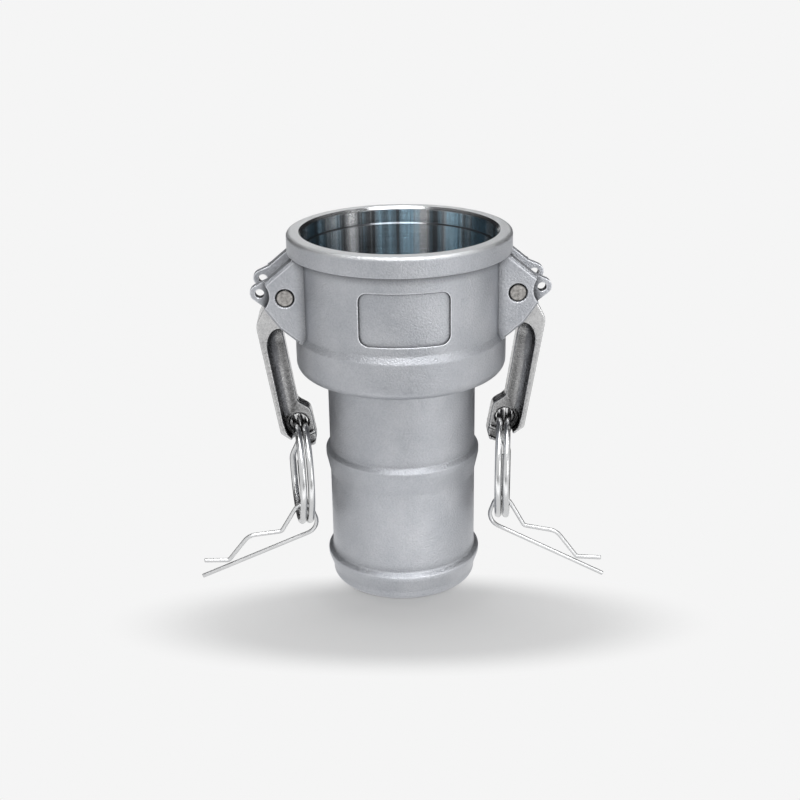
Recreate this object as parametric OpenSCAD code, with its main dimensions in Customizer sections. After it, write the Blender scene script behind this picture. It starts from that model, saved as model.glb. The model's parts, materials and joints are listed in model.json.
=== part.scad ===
// Cam and groove coupler with a hose shank.
// It stands on the end of its shank: the shank's axis is Z, the mouth is up,
// and one cam arm hangs on each side, at +X and at -X.

/* [Socket] */
// Bore of the socket that takes the grooved adapter
socket_d = 64; // [61:0.5:67]
// Wall of the socket outside its bore
socket_wall = 2.6; // [2.2:0.1:3.4]
// Height of the whole coupler
body_h = 126; // [122:1:138]
// Length of the head, from the mouth down to the underside of the collar
head_len = 48.2; // [47:0.2:52]
// Thickness of the floor that the gasket lies on
floor_t = 2.7; // [2:0.1:4]
// Radial depth of the step that leads into the socket bore
lead_step = 0.5; // [0.3:0.1:0.8]
// Depth of that step below the mouth
lead_depth = 5.6; // [4:0.1:6.4]
// Width and depth of the bevel at the mouth
mouth_bevel = 0.9; // [0.5:0.1:1.4]

/* [Collar and rim] */
// How far the collar stands out from the socket wall
collar_step = 1.2; // [0.8:0.1:2]
// Height of the collar's straight band and its bottom round
collar_h = 12.7; // [10.5:0.1:13.5]
// Round at the bottom edge of the collar
collar_round = 3.8; // [2:0.1:5]
// Height of the slope between the collar and the socket wall
ledge_h = 2.4; // [1.5:0.1:3]
// How far the rim stands out from the socket wall
rim_step = 3; // [2:0.1:4]
// Height of the rim
rim_h = 6.8; // [6.5:0.1:8]
// Round at the top edge of the rim
rim_round = 1.3; // [0.6:0.1:1.8]

/* [Hose shank] */
// Outside diameter of the shank
shank_d = 50.9; // [49:0.1:52]
// Wall of the shank
shank_wall = 2.85; // [2.2:0.05:3.5]
// Height of the middle barb's sharp upper edge above the end of the shank
mid_barb_z = 50; // [44:0.5:56]
// How far the middle barb stands out
mid_barb_rise = 1.4; // [0.8:0.1:1.8]
// Height of the end barb's sharp upper edge
end_barb_z = 10.5; // [9:0.5:16]
// How far the end barb stands out
end_barb_rise = 1.7; // [1:0.1:2]
// Round at the end of the shank
shank_round = 1.6; // [0.8:0.1:2]

/* [Panel] */
// Width of the plain recessed panel on the front
panel_w = 29.2; // [20:0.2:34]
// Height of the panel
panel_h = 17.6; // [12:0.2:19]
// Distance of the panel's centre below the mouth
panel_drop = 21.3; // [19:0.1:22]
// Depth of the panel
panel_depth = 0.5; // [0.3:0.1:0.8]
// Corner radius of the panel
panel_corner = 3; // [1:0.5:5]

/* [Ears] */
// Thickness of an ear
ear_t = 6; // [5:0.1:7]
// Thickness of the thin tab at the ear's outer end
tab_t = 3; // [2:0.1:4]
// Radius of the tab's round end
tab_r = 2.9; // [2.5:0.1:3.4]
// Hole through the tabs for a safety clip
tab_hole_d = 3; // [2.4:0.1:3.4]
// Bevel along the outer edges of the ears
ear_bevel = 0.9; // [0.4:0.1:1.4]

/* [Hinge pins] */
// Diameter of the pin that an arm turns on
pin_d = 6; // [5:0.1:6.4]
// Distance of the pin's axis outside the socket bore
pin_out = 6.2; // [6.2:0.05:7]
// Distance of the pin's axis below the mouth
pin_drop = 19.2; // [18.8:0.1:20]
// Radial gap between the pin and the arm
pin_play = 0.05; // [0.02:0.01:0.09]
// Radial gap between the pin and the ears
pin_seat = 0.03; // [0.02:0.01:0.09]
// Bevel at the pin's ends and at the mouths of its holes
pin_bevel = 0.35; // [0.2:0.05:0.6]

/* [Cam arms] */
// Length of an arm from its pin to its tip
arm_len = 57.4; // [54:0.2:64]
// Width of an arm from side to side
arm_w = 14.4; // [12.5:0.1:15.5]
// Gap between an arm and each ear beside it
arm_play = 0.3; // [0.2:0.05:0.5]
// Depth of the lever from its outer face to its inner edge
lever_depth = 7.45; // [6.6:0.05:8.5]
// Distance of the lever's inner edge outside the pin's axis
lever_out = 4.05; // [3.8:0.05:5]
// Lean of the lever towards the shank when the arm is closed, in degrees
arm_lean = 8.6; // [7:0.1:10]
// Reach of the cam nose from the pin's axis
cam_reach = 10; // [9:0.1:10.2]
// Radius of the arm's head round the pin
head_r = 6; // [5.4:0.1:6]
// Thickness of the lever's outer flange
flange_t = 1.6; // [1.2:0.1:2.4]
// Thickness of the web inside the flange
web_t = 5; // [4:0.1:6]
// Radius of the hollow between web and flange
scoop_r = 4.7; // [4.2:0.1:5.2]
// Diameter of the eye that carries the finger ring
eye_d = 6.2; // [6:0.1:6.6]
// Bevel at the mouths of the eye
eye_bevel = 0.7; // [0.3:0.1:0.8]
// Radius of the boss round the eye
eye_boss_r = 4.6; // [4.3:0.1:5.2]
// Thickness of the boss and of the arm's tip
boss_t = 5.6; // [5.2:0.1:5.8]
// Distance of the eye above the arm's tip
eye_up = 9.4; // [8.6:0.1:10.4]

/* [Finger rings] */
// Outside diameter of a finger ring
ring_d = 39.3; // [37.5:0.1:39.5]
// Width of the flattened ring wire along the ring's axis
ring_wire_w = 2.4; // [2.1:0.05:2.45]
// Thickness of the ring wire from inside to outside
ring_wire_t = 2; // [1.6:0.05:2.1]
// Gap between the ring's two turns
turn_gap = 0.3; // [0.2:0.05:0.5]
// Angle by which the rings stand turned round the coupler's axis, in degrees
ring_turn = 8; // [4:0.5:9]

/* [Safety clips] */
// Wire diameter of a safety clip
clip_d = 1.5; // [1.2:0.05:1.7]
// Length of the clip's straight leg beyond its loop
clip_leg = 41; // [38:0.5:44]
// Radius of the clip's loop, at the middle of the wire
clip_loop_r = 4.9; // [4.7:0.05:5.4]
// Gap between the loop and the ring that it hangs on
clip_gap = 0.25; // [0.2:0.05:0.3]
// Angle by which the clip at -X points to the front, in degrees
clip_turn_left = 8; // [4:1:12]
// Angle by which the clip at +X points to the front, in degrees
clip_turn_right = 20; // [16:1:22]

/* [Gasket] */
// Thickness of the gasket
gasket_t = 6.35; // [5:0.05:6.6]
// Width of the gasket's section
gasket_w = 7.95; // [6:0.05:8.5]
// How far the gasket reaches under the socket wall
gasket_tuck = 1.35; // [0.8:0.05:1.5]
// Play round the gasket and above it in its groove
gasket_play = 0.2; // [0.1:0.05:0.3]

/* [Hidden] */
$fn = 96;

// Overrun of a cut past the face that it leaves
cut = 1;
// Overrun of a bevelled mouth past its face and past its hole
over = 0.2;

// Colours of the cast body, the arms, the pins, the wire and the gasket
cast_grey = [0.72, 0.74, 0.77];
arm_grey = [0.60, 0.60, 0.62];
pin_grey = [0.66, 0.63, 0.60];
wire_grey = [0.80, 0.81, 0.83];
gasket_black = [0.05, 0.05, 0.055];

// Heights along the coupler's axis
head_z = body_h - head_len;
seat_z = head_z + floor_t;
groove_top = seat_z + gasket_t + gasket_play;
ledge_z = head_z + collar_h;
rim_z = body_h - rim_h;

// Radii from the coupler's axis
socket_r = socket_d / 2;
wall_r = socket_r + socket_wall;
collar_r = wall_r + collar_step;
rim_r = wall_r + rim_step;
lead_r = socket_r + lead_step;
shank_r = shank_d / 2;
bore_r = shank_r - shank_wall;
gasket_r = socket_r + gasket_tuck;
groove_r = gasket_r + gasket_play;

// Place of the hinge pins, and the gap between two ears, which holds an arm
ear_gap = arm_w + 2 * arm_play;
pin_x = socket_r + pin_out;
pin_z = body_h - pin_drop;
pin_len = ear_gap + 2 * ear_t;

// Centre of the hole in an ear's tab, from the pin's axis
tab_at = [8.3, 1];
// Place of the tab's outermost corner from that hole, in radii of the tab
tab_corner = [1.93, 0.24];
// Radius of the flat that thins the tab, and its drop below the hole
tab_flat_r = 6.2;
tab_flat_drop = 0.2;

// Place of the eye, first in the lever's own upright frame and then from the coupler's origin
eye_u = lever_out + 0.9;
eye_w = arm_len - eye_up;
eye_x = pin_x + eye_u * cos(arm_lean) - eye_w * sin(arm_lean);
eye_z = pin_z - eye_u * sin(arm_lean) - eye_w * cos(arm_lean);

// The ring's wire, at the middle of its section
ring_path_r = (ring_d - ring_wire_t) / 2;
ring_low_z = eye_z - 2 * ring_path_r;
turn_pitch = ring_wire_w + turn_gap;

// Distance of the loop's centre outside the ring's lowest point
loop_shift = 0.6;
// Height of the loop above the line of the clip's straight leg, past its own radius
leg_sink = 0.7;

// How far the loop's centre hangs below the middle of the ring's wires, so that the
// two turns just clear the inside of the loop
function loop_drop(turn) =
    let (skew = turn - ring_turn,
         side = turn_pitch / 2 / cos(skew) + clip_d / 2 * abs(tan(skew)) + loop_shift,
         room = clip_loop_r - clip_d / 2 - clip_gap - ring_wire_w / 2)
    sqrt(max(0.01, room * room - side * side));
function loop_z(turn) = ring_low_z - loop_drop(turn);
// The leg's tip rests on the surface that the coupler stands on
function clip_droop(turn) =
    let (down = clip_loop_r + leg_sink)
    asin((loop_z(turn) - clip_d / 2) / norm([clip_leg, down])) - atan2(down, clip_leg);

// Arc points of one rounded corner b between its neighbours a and c
function corner(a, b, c, r, n) =
    let (u = (a - b) / norm(a - b),
         v = (c - b) / norm(c - b),
         half = acos(max(-1, min(1, u * v))) / 2,
         reach = min(r / tan(half), 0.49 * min(norm(a - b), norm(c - b))),
         rr = reach * tan(half),
         m = b + (u + v) / norm(u + v) * rr / sin(half),
         p = b + u * reach - m,
         q = b + v * reach - m,
         a0 = atan2(p[1], p[0]),
         turn = atan2(p[0] * q[1] - p[1] * q[0], p * q))
    [for (i = [0 : n]) m + rr * [cos(a0 + turn * i / n), sin(a0 + turn * i / n)]];
function xy(p) = [p[0], p[1]];
function steps(r) = r < 0.9 ? 3 : r < 3 ? 5 : 8;

// Closed outline through corners [x, y, radius], where radius 0 keeps a corner sharp
function rounded(pts) =
    let (n = len(pts))
    [for (i = [0 : n - 1])
        each pts[i][2] == 0 ? [xy(pts[i])]
            : corner(xy(pts[(i + n - 1) % n]), xy(pts[i]), xy(pts[(i + 1) % n]), pts[i][2], steps(pts[i][2]))];

// Open path through corners, for a bent wire
function bent(pts) =
    let (last = len(pts) - 1)
    [xy(pts[0]),
     for (i = [1 : last - 1]) each corner(xy(pts[i - 1]), xy(pts[i]), xy(pts[i + 1]), pts[i][2], steps(pts[i][2])),
     xy(pts[last])];

// Skin of a solid whose sections all have the same number of points
module loft(sections) {
    rows = len(sections);
    k = len(sections[0]);
    polyhedron(
        points = [for (s = sections) each s],
        faces = [
            [for (j = [k - 1 : -1 : 0]) j],
            for (i = [0 : rows - 2], j = [0 : k - 1])
                [i * k + j, i * k + (j + 1) % k, (i + 1) * k + (j + 1) % k, (i + 1) * k + j],
            [for (j = [0 : k - 1]) (rows - 1) * k + j]
        ]);
}

// Cutter for a hole along Y of radius r, with bevelled mouths in faces half a width from y = 0
module bevelled_hole(r, bevel, half) {
    rotate([90, 0, 0])
        cylinder(r = r, h = 2 * half + 2 * cut, center = true);
    for (s = [-1, 1])
        translate([0, s * (half + over), 0])
            rotate([s * 90, 0, 0])
                cylinder(r1 = r + bevel + over, r2 = r - over, h = bevel + 2 * over);
}

// Extrudes an outline in the X-Z plane from y0 to y1
module slab(y0, y1) {
    translate([0, y1, 0])
        rotate([90, 0, 0])
            linear_extrude(y1 - y0)
                children();
}

// Heights of the barbs' slopes and crests below their sharp upper edges
end_slope = 7.5;
end_crest = 2.5;
end_shoulder = 1.2;
mid_slope = 10;
mid_crest = 3.5;
mid_shoulder = 1.6;

// Outside of the casting, filled to its axis
module outer_shape() {
    rotate_extrude()
        polygon(rounded([
            [0, 0, 0],
            [shank_r, 0, shank_round],
            [shank_r, end_barb_z - end_slope, 2],
            [shank_r + end_barb_rise, end_barb_z - end_crest, 0.8],
            [shank_r + end_barb_rise, end_barb_z - end_shoulder, 0.6],
            [shank_r, end_barb_z, 1],
            [shank_r, mid_barb_z - mid_slope, 4],
            [shank_r + mid_barb_rise, mid_barb_z - mid_crest, 1],
            [shank_r + mid_barb_rise, mid_barb_z - mid_shoulder, 0.6],
            [shank_r, mid_barb_z, 1],
            [shank_r, head_z, 1.2],
            [collar_r, head_z, collar_round],
            [collar_r, ledge_z, 1.2],
            [wall_r, ledge_z + ledge_h, 1.5],
            [wall_r, rim_z, 0.8],
            [rim_r, rim_z, 0.5],
            [rim_r, body_h, rim_round],
            [0, body_h, 0]
        ]));
}

// The way through: mouth, socket, gasket groove and shank bore
module inner_shape() {
    rotate_extrude()
        polygon([
            [0, -cut],
            [bore_r, -cut],
            [bore_r, seat_z],
            [groove_r, seat_z],
            [groove_r, groove_top],
            [socket_r, groove_top],
            [socket_r, body_h - lead_depth - lead_step],
            [lead_r, body_h - lead_depth],
            [lead_r, body_h - mouth_bevel],
            [lead_r + mouth_bevel, body_h],
            [lead_r + mouth_bevel + cut, body_h + cut],
            [0, body_h + cut]
        ]);
}

// Corners of an ear's outline, from the pin's axis at +X; its inner edge lies sunk in the wall
ear_sink = 5;
ear_start = 5.55;
ear_lap = 0.6;
ear_top = [ear_start - socket_wall - pin_out, rim_z + ear_lap - pin_z];
ear_knee = [6, 5.3];
ear_low = [7.1, -3.6];
ear_belly = [2.3, -10.4];
ear_root = [-3, -14.8];
ear_foot = 3.6;
function ear_outline() = rounded([
    [ear_top[0] - ear_sink, ear_top[1], 0],
    [ear_top[0], ear_top[1], 0],
    [ear_knee[0], ear_knee[1], 1.2],
    [tab_at[0] + tab_corner[0] * tab_r, tab_at[1] + tab_corner[1] * tab_r, tab_r],
    [ear_low[0], ear_low[1], 1.5],
    [ear_belly[0], ear_belly[1], 6],
    [ear_root[0], ear_root[1], 3],
    [ear_top[0] - ear_sink, ear_root[1] - ear_foot, 0]
]);

// One ear at +X, y > 0, with its thin tab
module ear() {
    difference() {
        translate([pin_x, 0, pin_z])
            slab(ear_gap / 2, ear_gap / 2 + ear_t)
                polygon(ear_outline());
        translate([pin_x + tab_at[0] + tab_r, ear_gap / 2 + tab_t, pin_z + tab_at[1] - tab_flat_drop])
            rotate([-90, 0, 0])
                cylinder(r = tab_flat_r, h = ear_t);
        ear_edge(ear_top, ear_knee);
        ear_edge(ear_low, ear_belly);
        ear_edge(ear_belly, ear_root);
    }
}

// Cutter that bevels the ear's outer edge between two corners of its outline
module ear_edge(a, b) {
    run = b - a;
    side = ear_bevel * sqrt(2);
    translate([pin_x + a[0], ear_gap / 2 + ear_t, pin_z + a[1]])
        rotate([0, -atan2(run[1], run[0]), 0])
            translate([-cut, 0, 0])
                rotate([45, 0, 0])
                    translate([0, -side / 2, -side / 2])
                        cube([norm(run) + 2 * cut, side, side]);
}

// Opening in the socket wall that a cam swings through
window_play = 0.4;
window_start = 6;
window_low = pin_z - cam_reach - window_play;
window_high = pin_z + head_r + window_play;
module cam_window() {
    translate([socket_r - window_start, 0, 0])
        rotate([90, 0, 90])
            linear_extrude(pin_out + window_start)
                polygon(rounded([
                    [-ear_gap / 2, window_low, 1],
                    [ear_gap / 2, window_low, 1],
                    [ear_gap / 2, window_high, 1],
                    [-ear_gap / 2, window_high, 1]
                ]));
}

// Holes for one hinge pin and for the clip in the tabs, across both ears
module ear_holes() {
    translate([pin_x, 0, pin_z])
        bevelled_hole(pin_d / 2 + pin_seat, pin_bevel, pin_len / 2);
    translate([pin_x + tab_at[0], 0, pin_z + tab_at[1]])
        rotate([90, 0, 0])
            cylinder(d = tab_hole_d, h = pin_len + 2 * cut, center = true);
}

// The recessed plain panel follows the round wall of the socket
module panel_cut() {
    intersection() {
        translate([0, 0, body_h - panel_drop])
            slab(-wall_r - cut, 0)
                polygon(rounded([
                    [-panel_w / 2, -panel_h / 2, panel_corner],
                    [panel_w / 2, -panel_h / 2, panel_corner],
                    [panel_w / 2, panel_h / 2, panel_corner],
                    [-panel_w / 2, panel_h / 2, panel_corner]
                ]));
        difference() {
            cylinder(r = wall_r + 2 * cut, h = body_h);
            translate([0, 0, -cut])
                cylinder(r = wall_r - panel_depth, h = body_h + 2 * cut);
        }
    }
}

// Body: one casting with socket, collar, hose shank and four ears
module body() {
    color(cast_grey)
        difference() {
            union() {
                outer_shape();
                for (mx = [0, 1], my = [0, 1])
                    mirror([mx, 0, 0])
                        mirror([0, my, 0])
                            ear();
            }
            inner_shape();
            for (mx = [0, 1])
                mirror([mx, 0, 0]) {
                    cam_window();
                    ear_holes();
                }
            panel_cut();
        }
}

// Flat rubber ring that seals the adapter's end
module gasket() {
    color(gasket_black)
        translate([0, 0, seat_z])
            rotate_extrude()
                polygon(rounded([
                    [gasket_r - gasket_w, 0, 0.5],
                    [gasket_r, 0, 0.5],
                    [gasket_r, gasket_t, 0.5],
                    [gasket_r - gasket_w, gasket_t, 0.5]
                ]));
}

// Hinge pin at +X, with bevelled ends flush with the ears
module arm_pin() {
    color(pin_grey)
        translate([pin_x, pin_len / 2, pin_z])
            rotate([90, 0, 0])
                rotate_extrude()
                    polygon([
                        [0, 0],
                        [pin_d / 2 - pin_bevel, 0],
                        [pin_d / 2, pin_bevel],
                        [pin_d / 2, pin_len - pin_bevel],
                        [pin_d / 2 - pin_bevel, pin_len],
                        [0, pin_len]
                    ]);
}

// Side view of the lever in its own upright frame: x runs outwards from the pin's
// axis and y runs up, so the lever hangs at negative y
lever_outer = lever_out + lever_depth;
// Drops below the pin's axis: the inner bend, the outer shoulder and the corner above it
bend_drop = 14;
shoulder_drop = 9.5;
neck_drop = 3.4;
// Heights above the eye where the inner edge starts and ends its swell
swell_top = 7.8;
swell_low = 4.6;
// Heights above the tip of the outer edge's bottom corner and of its notch for the tip
heel_up = 8.1;
notch_up = 5.3;
function lever_outline() = rounded([
    [-2, -4, 0],
    [lever_out, -bend_drop, 6],
    [lever_out, -eye_w + swell_top, 3],
    [0, -eye_w + swell_low, 3.5],
    [-0.2, -arm_len + 3.4, 3],
    [1, -arm_len, 0.8],
    [lever_out + 0.3, -arm_len + 0.5, 0.8],
    [lever_out + 1, -arm_len + 4.2, 1],
    [lever_outer - 2.8, -arm_len + notch_up, 0.8],
    [lever_outer, -arm_len + heel_up, 1],
    [lever_outer + 0.6, -shoulder_drop, 5.5],
    [7.6, -neck_drop, 1.5],
    [2, 0, 0]
]);

// Heights of the scoops' round ends in the lever's sides, from the pin and from the tip,
// how much longer than wide the top end is, and the scoops' axis
scoop_drop = 19.3;
scoop_up = 11.6;
scoop_stretch = 1.6;
scoop_top = -scoop_drop;
scoop_low = -arm_len + scoop_up;
scoop_u = lever_outer - flange_t - scoop_r;
// Distance inside the pin's axis where the scoop's cut is clear of the lever
scoop_clear = 5;
// Angle between two points of a rounded cut
arc_step = 15;

// Outline of the scoop at the depth where its round sides have the radius r; it opens
// towards the lever's inner edge and past the tip
function scoop_outline(r) = [
    [-scoop_clear, -arm_len - cut],
    [scoop_u, -arm_len - cut],
    for (b = [-90 : arc_step : 0]) [scoop_u + r * cos(b), scoop_low + r * sin(b)],
    for (b = [0 : arc_step : 90]) [scoop_u + r * cos(b), scoop_top + scoop_stretch * r * sin(b)],
    [-scoop_clear, scoop_top + scoop_stretch * r]
];

// Cutter for the scoop on the side y > 0: flat on the web, round towards the flange
module scoop() {
    flat_edge = 0.4;
    loft([
        for (b = [0 : arc_step : 90])
            let (y = web_t / 2 + scoop_r * (1 - cos(b)))
            [for (p = scoop_outline(max(flat_edge, scoop_r * sin(b)))) [p[0], y, p[1]]],
        [for (p = scoop_outline(scoop_r)) [p[0], arm_w, p[1]]]
    ]);
}

// Cutter for the side y > 0 that clears the finger ring's way round the eye
module ring_room() {
    room_r = eye_boss_r + 0.1;
    from = -52;
    to = 135;
    far = 3 * room_r;
    slab(boss_t / 2, arm_w)
        translate([eye_u, -eye_w])
            polygon([
                for (b = [from : 11 : to]) room_r * [cos(b), sin(b)],
                [-far, room_r * sin(to)],
                [-far, -far],
                [room_r * cos(from), -far]
            ]);
}

// The part of the lever's side view that holds the eye and the tip
module tip_region() {
    polygon([
        [-3, -eye_w + 7.4],
        [lever_out, -eye_w + 7.9],
        [eye_u + 3.6, -eye_w + 3],
        [lever_out + 1.2, -eye_w - 3],
        [lever_out + 1.2, -arm_len - cut],
        [-3, -arm_len - cut]
    ]);
}

// Two raised bars across the tip, for the fingers
module tip_bars() {
    bar_t = 1;
    bar_rise = 1;
    bar_tilt = 16;
    for (up = [1, 5])
        translate([lever_out / 2, 0, -arm_len + up])
            rotate([0, bar_tilt, 0])
                cube([3 * lever_out, boss_t + 2 * bar_rise, bar_t], center = true);
}

// The lever, still upright, without its head
module lever() {
    difference() {
        slab(-arm_w / 2, arm_w / 2)
            polygon(lever_outline());
        for (my = [0, 1])
            mirror([0, my, 0]) {
                scoop();
                ring_room();
            }
    }
    intersection() {
        slab(-boss_t / 2, boss_t / 2)
            polygon(lever_outline());
        slab(-arm_w, arm_w)
            tip_region();
    }
    intersection() {
        slab(-arm_w / 2, arm_w / 2)
            polygon(lever_outline());
        tip_bars();
    }
    translate([eye_u, 0, -eye_w])
        rotate([90, 0, 0])
            cylinder(r = eye_boss_r, h = boss_t, center = true);
}

// Side view of the arm's head, drawn out to the cam nose
module head_outline() {
    nose_out = cam_reach - head_r;
    head_step = 7.5;
    polygon([
        for (b = [-90 : head_step : 90]) head_r * [cos(b), sin(b)],
        for (b = [90 : head_step : 270]) [-nose_out, 0] + head_r * [cos(b), sin(b)]
    ]);
}

// Cam arm at +X: head with cam nose, leaning lever, eye and finger tip in one casting
module cam_arm() {
    color(arm_grey)
        translate([pin_x, 0, pin_z])
            difference() {
                union() {
                    slab(-arm_w / 2, arm_w / 2)
                        head_outline();
                    rotate([0, arm_lean, 0])
                        lever();
                }
                rotate([90, 0, 0])
                    cylinder(r = pin_d / 2 + pin_play, h = arm_w + 2 * cut, center = true);
                rotate([0, arm_lean, 0])
                    translate([eye_u, 0, -eye_w])
                        bevelled_hole(eye_d / 2, eye_bevel, boss_t / 2);
            }
}

// Finger ring at +X: one flattened wire wound into two turns, with its kink at the back
module finger_ring() {
    kink = 12;
    ends = kink + 3;
    one_turn = 360;
    back = 90;
    swing = 8;
    section = 10;
    first = back + ends;
    last = back + 2 * one_turn - ends;
    count = ceil((last - first) / swing);
    color(wire_grey)
        translate([eye_x, 0, eye_z - ring_path_r])
            rotate([0, 0, -ring_turn])
                loft([for (i = [0 : count])
                    let (a = first + (last - first) * i / count,
                         s = max(0, min(1, (a - back - one_turn + kink) / (2 * kink))),
                         across = turn_pitch * (s * s * (3 - 2 * s) - 0.5))
                    [for (j = [0 : section - 1])
                        let (b = one_turn * j / section,
                             r = ring_path_r + ring_wire_t / 2 * cos(b))
                        [across + ring_wire_w / 2 * sin(b), r * sin(a), r * cos(a)]]]);
}

// Side view of the safety clip's wire, from the centre of its loop with its leg level.
// Along the wavy leg: its dip, its hump, its nip on the straight leg and its open tip.
clip_low = -clip_loop_r - leg_sink;
dip_out = 8.4;
dip_low = 1;
hump_out = 19.8;
hump_rise = 2.4;
hump_bend = 5;
nip_out = 30;
nip_gap = 0.4;
tip_out = 38;
tip_rise = 5.6;
sharp_bend = 1.6;
function clip_path() = bent([
    [clip_leg, clip_low, 0],
    [-clip_loop_r, clip_low, clip_loop_r],
    [-clip_loop_r, 2 * clip_loop_r, clip_loop_r],
    [dip_out, -dip_low, sharp_bend],
    [hump_out, hump_rise, hump_bend],
    [nip_out, clip_low + clip_d + nip_gap, sharp_bend],
    [tip_out, clip_low + tip_rise, 0]
]);

// Safety clip at +X, hung in the finger ring and turned to the front
module safety_clip(turn) {
    path = clip_path();
    last = len(path) - 1;
    section = 8;
    color(wire_grey)
        translate([eye_x, 0, loop_z(turn)])
            rotate([0, 0, -turn])
                translate([loop_shift, 0, 0])
                    rotate([0, clip_droop(turn), 0])
                        loft([for (i = [0 : last])
                            let (t = path[min(i + 1, last)] - path[max(i - 1, 0)],
                                 u = t / norm(t))
                            [for (j = [0 : section - 1])
                                let (b = 360 * j / section,
                                     out = clip_d / 2 * cos(b))
                                [path[i][0] - u[1] * out, clip_d / 2 * sin(b), path[i][1] + u[0] * out]]]);
}

module arm_pin_right() arm_pin();
module arm_pin_left() mirror([1, 0, 0]) arm_pin();
module cam_arm_right() cam_arm();
module cam_arm_left() mirror([1, 0, 0]) cam_arm();
module finger_ring_right() finger_ring();
module finger_ring_left() mirror([1, 0, 0]) finger_ring();
module safety_clip_right() safety_clip(clip_turn_right);
module safety_clip_left() mirror([1, 0, 0]) safety_clip(clip_turn_left);

body();
gasket();
arm_pin_left();
arm_pin_right();
cam_arm_left();
cam_arm_right();
finger_ring_left();
finger_ring_right();
safety_clip_left();
safety_clip_right();
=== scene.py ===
"""Looks of a cam and groove coupler with a hose shank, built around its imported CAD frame."""

import json
from math import asin, atan2, ceil, cos, degrees, hypot, pi, radians, sin, tan

import bpy
from mathutils import Matrix, Vector


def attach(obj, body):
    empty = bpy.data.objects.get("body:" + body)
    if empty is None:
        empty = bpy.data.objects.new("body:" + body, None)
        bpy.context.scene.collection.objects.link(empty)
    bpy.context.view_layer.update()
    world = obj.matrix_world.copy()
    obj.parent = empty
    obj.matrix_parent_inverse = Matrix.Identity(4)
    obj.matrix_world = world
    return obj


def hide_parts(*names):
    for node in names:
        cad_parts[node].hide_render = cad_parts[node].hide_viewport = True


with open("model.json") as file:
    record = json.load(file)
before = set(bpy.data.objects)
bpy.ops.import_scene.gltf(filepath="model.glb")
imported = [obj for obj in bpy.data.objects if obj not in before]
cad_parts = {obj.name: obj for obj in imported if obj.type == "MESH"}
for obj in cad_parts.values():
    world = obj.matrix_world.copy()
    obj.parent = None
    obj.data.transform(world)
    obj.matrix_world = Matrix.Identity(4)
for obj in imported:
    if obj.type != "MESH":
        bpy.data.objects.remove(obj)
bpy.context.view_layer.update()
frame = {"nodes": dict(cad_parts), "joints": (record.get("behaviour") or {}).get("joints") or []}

MM = 0.001
SIDES = {"left": -1, "right": 1}
nodes = frame["nodes"]
joints = {joint["name"]: joint for joint in frame["joints"]}

# Sizes of the wire pieces, in millimetres, as in the CAD source
RING_D = 39.3
RING_WIRE_W = 2.4
RING_WIRE_T = 2.0
TURN_GAP = 0.3
CLIP_D = 1.5
CLIP_LEG = 41.0
CLIP_LOOP_R = 4.9
LEG_SINK = 0.7

# Sizes of the casting that its finishes are placed by, in millimetres, as in the CAD source
BODY_H = 126.0
SOCKET_R = 32.0
LEAD_STEP = 0.5
MOUTH_BEVEL = 0.9
SEAT_Z = 80.5


# Helpers for modelling with operators

# Points closer together than this, in metres, are merged
WELD = 0.00001


def select_only(obj):
    """Deselects everything else, because an operator acts on all that is selected."""
    for other in bpy.context.selected_objects:
        other.select_set(False)
    obj.select_set(True)
    bpy.context.view_layer.objects.active = obj


def apply_modifiers(obj):
    select_only(obj)
    for name in [modifier.name for modifier in obj.modifiers]:
        bpy.ops.object.modifier_apply(modifier=name)


def close_and_turn_out(obj):
    """Fills a tube's two open ends and turns all its faces outwards."""
    select_only(obj)
    bpy.ops.object.mode_set(mode="EDIT")
    bpy.ops.mesh.select_all(action="SELECT")
    bpy.ops.mesh.remove_doubles(threshold=WELD)
    bpy.ops.mesh.select_all(action="DESELECT")
    bpy.ops.mesh.select_mode(type="EDGE")
    bpy.ops.mesh.select_non_manifold()
    bpy.ops.mesh.fill_holes(sides=0)
    bpy.ops.mesh.select_all(action="SELECT")
    bpy.ops.mesh.normals_make_consistent(inside=False)
    bpy.ops.object.mode_set(mode="OBJECT")


def smooth(obj, angle):
    select_only(obj)
    bpy.ops.object.shade_smooth_by_angle(angle=radians(angle))


def settle(obj, location, rotation, side):
    """Puts a piece that was made at the origin in its place, and mirrors it for the side at -X."""
    select_only(obj)
    obj.location = location
    obj.rotation_euler = rotation
    bpy.ops.object.transform_apply(location=True, rotation=True, scale=True)
    if side == "left":
        obj.scale = (-1, 1, 1)
        bpy.ops.object.transform_apply(location=False, rotation=False, scale=True)
    bpy.ops.object.mode_set(mode="EDIT")
    bpy.ops.mesh.select_all(action="SELECT")
    bpy.ops.mesh.normals_make_consistent(inside=False)
    bpy.ops.object.mode_set(mode="OBJECT")


def start_wire(name, at, heading, width, height, sides):
    """One open loop of the wire's section, ready to be spun and extruded in edit mode."""
    bpy.ops.mesh.primitive_circle_add(vertices=sides, radius=1, location=at, rotation=heading)
    wire = bpy.context.object
    wire.name = name
    wire.scale = (width / 2, height / 2, 1)
    bpy.ops.object.transform_apply(location=True, rotation=True, scale=True)
    bpy.ops.object.mode_set(mode="EDIT")
    bpy.ops.mesh.select_all(action="SELECT")
    return wire


# Edges sharper than the first, in degrees, are a cut end's, and those sharper than the second stay sharp
CUT_ANGLE = 60
WIRE_SMOOTH = 40
CUT_SEGMENTS = 3


def round_cut_ends(wire, radius):
    edge = wire.modifiers.new("cut_ends", "BEVEL")
    edge.limit_method = "ANGLE"
    edge.angle_limit = radians(CUT_ANGLE)
    edge.width = radius * MM
    edge.segments = CUT_SEGMENTS
    apply_modifiers(wire)
    smooth(wire, WIRE_SMOOTH)


# Finger rings: one flattened wire wound into two turns, with a kink from one to the other

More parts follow.
